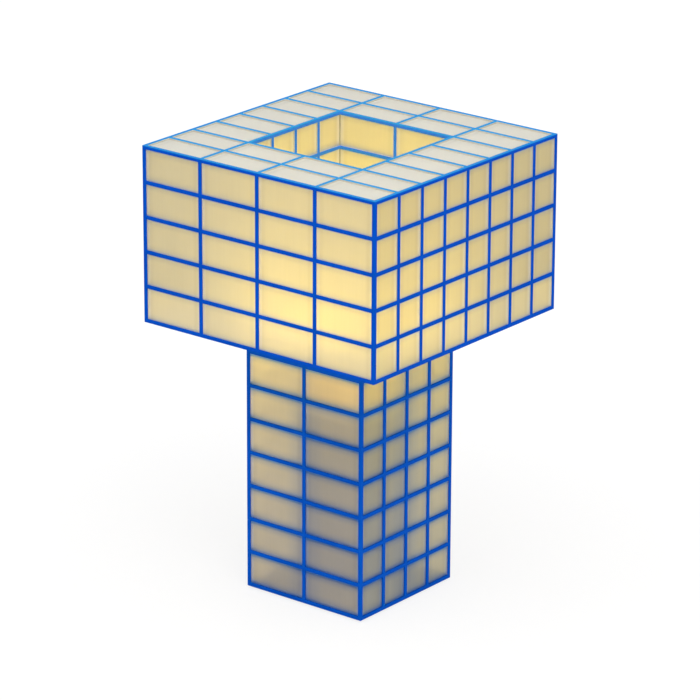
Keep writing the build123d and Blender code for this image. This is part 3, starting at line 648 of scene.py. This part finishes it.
def shade_blue(place, blue):
    """The blue of the cage, with painted light on the top faces of the lid and in the well, and pale
    flanks.
    """
    x, y, z = place.axes()
    reach = place.math("MAXIMUM", abs(x), abs(y))
    under_lid, from_wall, from_well = SHADE_TOP - z, SHADE_HALF - reach, abs(reach - WELL_HALF)
    from_face = place.math("MINIMUM", place.math("MINIMUM", from_wall, under_lid), from_well)
    in_well = reach < WELL_HALF + 1.5 * SHEET
    in_cells = place.math("MAXIMUM", under_lid < SHEET, in_well)
    off_level = off_bar(z - (RASTER_FOOT + BAR / 2), STEP)
    at_side = (abs(x) > abs(y)) * (off_level > HAIR)
    inner_flank = in_cells * from_face.ramp(*INNER_FLANK)
    flank = place.math("MAXIMUM", inner_flank, at_side * from_face.ramp(*SIDE_FLANK))
    # Painted light: the top faces of the lid are a paler blue, less so at the rim, and the bars in the
    # well a brighter blue.
    painted_top_light = under_lid.ramp(*LID_FACE, 1.0, 0.0) * from_wall.ramp(*LID_RIM, 0.75, 1.0)
    return flank.mix(painted_top_light.mix(in_well.mix(blue, WELL_LIT_BLUE), LID_TOP_LIT_BLUE), PALE_FLANK)


def over_well(face):
    """Whether a level face lies within the well."""
    farthest = max(abs(place) for vertex in face.verts for place in vertex.co.xy)
    return looks_along(face, 2) and farthest < WELL_HALF + TOUCH


def well_foot(vertex):
    """Whether a vertex is on the lower edge of the well."""
    x, y, z = vertex.co
    return z < SHADE_BOTTOM + TOUCH and abs(x) < NEAR_WELL and abs(y) < NEAR_WELL


shade_cage = new_box("shade_cage", SHADE_HALF, SHADE_BOTTOM, SHADE_TOP)
cut(0, bar_edges(WIDE, SHADE_HALF))
cut(1, bar_edges(STEP, SHADE_HALF))
pick(shade_cage, over_well)
bpy.ops.mesh.delete(type="FACE")
pick(shade_cage, lambda edge: edge.is_boundary, "edges")
bpy.ops.mesh.bridge_edge_loops()
bpy.ops.mesh.select_all(action="SELECT")
bpy.ops.mesh.normals_make_consistent(inside=False)
pick(shade_cage, lambda face: looks_along(face, 2) and face.normal.z < 0.0)
bpy.ops.mesh.delete(type="FACE")
pick(shade_cage, well_foot, "verts")
bpy.ops.transform.translate(value=(0.0, 0.0, SHEET))
cut(2, level_edges(SHADE_BOTTOM, SHADE_TOP))
pick(shade_cage, in_cell)
bpy.ops.mesh.delete(type="FACE")
weld_bars(shade_cage, powder_coat("shade_coat", SHADE_DEEP_BLUE, SHADE_BRIGHT_BLUE, shade_blue))
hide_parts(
    "shade_front_grille", "shade_rear_grille", "shade_left_grille", "shade_right_grille",
    "shade_top_grille", "well_front_grille", "well_rear_grille", "well_left_grille",
    "well_right_grille",
)
dress(blue_coat, "shade_floor_grille")

# Shade sheets: the same opal plastic behind the walls, lid, floor and well of the cage.
# The light of the globe is painted in them, nearly even over a wall, and the walls are painted
# palest along their foot, for the light from below.
WALL_SHEET = SHADE_HALF - 1.5 * SHEET
WELL_SHEET = WELL_HALF + 1.5 * SHEET
# Painted light from below: the walls have these colours along their foot, and the yellower upper ones
# above it.
WIDE_OPAL = (0.76, 0.73, 0.66)
WIDE_UPPER_OPAL = (0.76, 0.725, 0.605, 1)
NARROW_OPAL = (0.725, 0.69, 0.555)
NARROW_UPPER_OPAL = (0.70, 0.654, 0.485, 1)
WALL_LIT_FOOT_FADE = (0.172, 0.190)
WELL_OPAL = (0.74, 0.70, 0.61)
LID_OPAL = (0.76, 0.755, 0.715)
FLOOR_OPAL_DULL = (0.74, 0.73, 0.70, 1)
FLOOR_OPAL_BRIGHT = (0.80, 0.79, 0.76, 1)
FLOOR_LIGHT = (1.0, 0.76, 0.26)
FLOOR_REACH = (0.040, 0.085)
WALL_MIDDLE = 0.06
WALL_RISE = (0.165, 0.25)
WALL_INNER = (0.16, 0.26)
WALL_ENDS = (0.03, 0.0548)
WALL_FOOT = (0.176, 0.188)
WALL_LIGHT = 0.062
WIDE_LIGHT = 0.013
LID_LIGHT = 0.03
WELL_RISE = (0.158, 0.215)
WELL_LOWER_HALF = (0.16, 0.21)
WELL_UPPER_HALF = (0.21, 0.24)


def wall_glow(run, z):
    """Light in the left and right walls: most in the middle, and some low at the ends."""
    middle = run.spread(0.0, WALL_MIDDLE, 0.05, 0.0) * z.ramp(*WALL_RISE, 1.0, 0.2)
    lower_ends = run.spread(*WALL_ENDS, 0.0, 0.05) * z.ramp(*WALL_FOOT, 1.0, 0.0)
    return WALL_LIGHT + middle + lower_ends


def wide_glow(run, z):
    """Light in the front and rear walls, which have a little more."""
    return wall_glow(run, z) + WIDE_LIGHT


def wall_lit(run, z):
    """Light on the inner face of the walls."""
    return z.ramp(*WALL_INNER, 0.08, 0.04)


def well_glow(run, z):
    """Light in the walls of the well, which falls off above the globe."""
    return z.ramp(*WELL_RISE, 0.60, 0.14)


def well_lit(run, z):
    """Light on the outer side of the well's walls, most at half their height."""
    return z.ramp(*WELL_LOWER_HALF, 0.42, 0.75) - z.ramp(*WELL_UPPER_HALF, 0.0, 0.30)


def lid_glow(run, z):
    """Light in the lid, the same all over."""
    return LID_LIGHT


dress(
    opal(
        "wall_opal_wide", 0, WIDE, WALL_SHEET, WIDE_OPAL, wide_glow, wall_lit,
        painted_light_tint=(WIDE_UPPER_OPAL, *WALL_LIT_FOOT_FADE),
    ),
    "shade_front_panel", "shade_rear_panel",
)
dress(
    opal(
        "wall_opal_narrow", 1, STEP, WALL_SHEET, NARROW_OPAL, wall_glow, wall_lit,
        painted_light_tint=(NARROW_UPPER_OPAL, *WALL_LIT_FOOT_FADE), under=1.8, spill=0.09, clear=0.66, frost=0.46,
    ),
    "shade_left_panel", "shade_right_panel",
)
dress(
    opal("well_opal_wide", 0, WIDE, WELL_SHEET, WELL_OPAL, well_glow, well_lit, "GREATER_THAN"),
    "well_front_panel", "well_rear_panel",
)
dress(
    opal("well_opal_narrow", 1, STEP, WELL_SHEET, WELL_OPAL, well_glow, well_lit, "GREATER_THAN"),
    "well_left_panel", "well_right_panel",
)
dress(
    opal(
        "lid_opal", 0, WIDE, WALL_SHEET, LID_OPAL, lid_glow, no_light, "GREATER_THAN",
        shade=0.0, rim=0.0, spill=0.0, clear=0.35,
    ),
    "shade_top_panel",
)
# The floor sheet glows with painted light of the globe, most next to the column.
material, place = finish("floor_opal")
cloud = place.noise(60.0)
dress(
    coat(material, {
        "Base Color": cloud.mix(FLOOR_OPAL_DULL, FLOOR_OPAL_BRIGHT),
        "Roughness": 0.18 + 0.08 * cloud,
        "Specular IOR Level": 0.25,
        "IOR": 1.45,
        "Transmission Weight": 0.8,
        "Emission Color": place.off_axis().ramp(*FLOOR_REACH, 0.9, 0.06).tint(FLOOR_LIGHT),
        "Emission Strength": 1.0,
    }),
    "shade_floor_panel",
)

# Well corner seals: a thin bead of pale silicone down each corner of the well, where two
# sheets meet. It is run in last, from above, so its ends are round.
SEAL_RADIUS = 0.0004
SEAL_PROUD = 0.6 * SEAL_RADIUS
SEAL_END = 0.75 * SEAL_RADIUS
SEAL_PLACE = WELL_HALF + SHEET - SEAL_PROUD
bpy.ops.object.select_all(action="DESELECT")
bpy.ops.mesh.primitive_cylinder_add(
    vertices=16, radius=SEAL_RADIUS, depth=SHADE_TOP - SHADE_BOTTOM - 2 * SHEET,
    location=(SEAL_PLACE, SEAL_PLACE, (SHADE_TOP + SHADE_BOTTOM) / 2),
)
well_seals = bpy.context.object
well_seals.name = well_seals.data.name = "well_corner_seals"
bpy.ops.object.transform_apply(location=True, rotation=True, scale=True)
bpy.ops.object.mode_set(mode="EDIT")
pick(well_seals, lambda edge: abs(edge.verts[0].co.z - edge.verts[1].co.z) < TOUCH, "edges")
bpy.ops.mesh.bevel(offset=SEAL_END, segments=3)
bpy.ops.mesh.select_all(action="SELECT")
bpy.ops.mesh.spin(
    steps=3, dupli=True, angle=math.radians(270), center=(0.0, 0.0, 0.0), axis=(0.0, 0.0, 1.0),
)
bpy.ops.mesh.select_all(action="SELECT")
bpy.ops.mesh.normals_make_consistent(inside=False)
bpy.ops.object.mode_set(mode="OBJECT")
bpy.ops.object.shade_smooth_by_angle(angle=SHARP)
well_seals.data.materials.append(
    moulded("pale_sealant", (0.34, 0.32, 0.25, 1), (0.40, 0.38, 0.30, 1), roughness=0.5, grain=0.00001),
)
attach(well_seals, "lamp")

# Control plate and port cover: moulded in the lamp's blue. The plate closes the lowest
# left cell at the rear, and the soft cover turns on a pin between two ears of the plate.
dress(
    moulded("plate_blue", (0.002, 0.085, 0.50, 1), (0.003, 0.10, 0.55, 1), roughness=0.5),
    "control_plate",
)
dress(
    moulded("cover_blue", (0.004, 0.08, 0.42, 1), (0.006, 0.095, 0.46, 1), roughness=0.66, grain=0.00005),
    "port_cover",
)

# Power button: a cap moulded in white plastic, with a stem that works the switch behind
# it. It slides in a bore of the plate, and the switch pushes it back.
dress(
    moulded("button_cap", (0.74, 0.74, 0.72, 1), (0.80, 0.80, 0.78, 1), roughness=0.42),
    "power_button",
)

# Charge port: a steel shell, stamped and folded round a contact tongue. It is soldered to
# the control board and looks out of a slot in the plate.
STEEL_DULL = (0.52, 0.52, 0.53, 1)
STEEL_BRIGHT = (0.66, 0.66, 0.67, 1)
material, place = finish("stamped_steel")
scratch = place.noise(1.0, detail=3.0, stretch=(900.0, 60.0, 900.0))
dress(
    coat(material, {
        "Base Color": scratch.mix(STEEL_DULL, STEEL_BRIGHT),
        "Metallic": 1.0,
        "Roughness": 0.24 + 0.16 * scratch,
        "Normal": scratch.bump(depth=0.00002, strength=0.4),
    }),
    "charge_port",
)

# Studio: a pale seamless floor that reads as white and keeps a soft shadow, even light
# from all round, one wide lamp above and one beside the camera.
FLOOR_HALF = 3.0
FLOOR_DROP = 0.0001
FLOOR_GREY = (0.88, 0.88, 0.88, 1)
WHITE = (1.0, 1.0, 1.0, 1)
LIFT = 1.06
SHADOW_REACH = (0.12, 0.45)
SKY_LIGHT = 0.42
LAMP_MIDDLE = (0.0, 0.0, 0.15)


def seen(start):
    """1 for rays that show the backdrop: from the camera, off gloss or through the sheets."""
    path = start.node("ShaderNodeLightPath", {}, {})
    return path.math(
        "MAXIMUM", path.out("Is Camera Ray"),
        path.math("MAXIMUM", path.out("Is Glossy Ray"), path.out("Is Transmission Ray")),
    )


def softbox(name, place, side, power):
    """A square lamp at a place, turned to the middle of the object."""
    light = bpy.data.lights.new(name, "AREA")
    light.size = side
    light.energy = power
    box = bpy.data.objects.new(name, light)
    bpy.context.scene.collection.objects.link(box)
    box.location = place
    box.rotation_euler = (Vector(place) - Vector(LAMP_MIDDLE)).to_track_quat("Z", "Y").to_euler()


bpy.ops.object.select_all(action="DESELECT")
bpy.ops.mesh.primitive_plane_add(size=2 * FLOOR_HALF, location=(0.0, 0.0, -FLOOR_DROP))
floor = bpy.context.object
floor.name = "studio_floor"
material, place = finish("pale_floor")
coat(material, {"Base Color": FLOOR_GREY, "Roughness": 0.9, "Specular IOR Level": 0.1})
tree = material.node_tree
blend = place.node("ShaderNodeMixShader", {}, {
    0: seen(place) * place.off_axis().ramp(*SHADOW_REACH, 0.76, 0.96),
    1: Value(tree.nodes["Principled BSDF"].outputs[0]),
    2: place.node("ShaderNodeEmission", {}, {"Color": WHITE, "Strength": LIFT}),
})
tree.links.new(blend.socket, tree.nodes["Material Output"].inputs["Surface"])
floor.data.materials.append(material)
world = bpy.data.worlds.new("studio")
world.use_nodes = True
bpy.context.scene.world = world
sky = world.node_tree.nodes["Background"]
sky.inputs["Color"].default_value = WHITE
strength = seen(Value(sky.outputs[0])) * (1.0 - SKY_LIGHT) + SKY_LIGHT
world.node_tree.links.new(strength.socket, sky.inputs["Strength"])
softbox("softbox_above", place=(0.15, -0.35, 1.6), side=1.4, power=14.5)
softbox("softbox_side", place=(1.2, -0.8, 1.2), side=1.0, power=8.5)

# Camera: a long lens at the photograph's height and angle. Its place is given along its
# own axes: to the right, up and back from the middle of the lamp's base.
AZIMUTH, ELEVATION, ROLL = (math.radians(angle) for angle in (38.641, 19.485, 0.242))
CAMERA_RIGHT, CAMERA_UP, CAMERA_BACK = 0.0005136, 0.1325968, 2.407272
FOCAL_LENGTH = 217.63
SENSOR_WIDTH = 36.0
level = Vector((math.cos(AZIMUTH), math.sin(AZIMUTH), 0.0))
away = Vector((math.sin(AZIMUTH), -math.cos(AZIMUTH), 0.0))
back = math.cos(ELEVATION) * away + math.sin(ELEVATION) * Vector((0.0, 0.0, 1.0))
upright = back.cross(level)
right = math.cos(ROLL) * level + math.sin(ROLL) * upright
up = math.cos(ROLL) * upright - math.sin(ROLL) * level
lens = bpy.data.cameras.new("camera")
lens.sensor_width = SENSOR_WIDTH
lens.lens = FOCAL_LENGTH
camera = bpy.data.objects.new("camera", lens)
bpy.context.scene.collection.objects.link(camera)
camera.matrix_world = Matrix((right, up, back)).transposed().to_4x4()
camera.location = CAMERA_RIGHT * right + CAMERA_UP * up + CAMERA_BACK * back
bpy.context.scene.camera = camera
bpy.context.scene.view_settings.view_transform = "Standard"
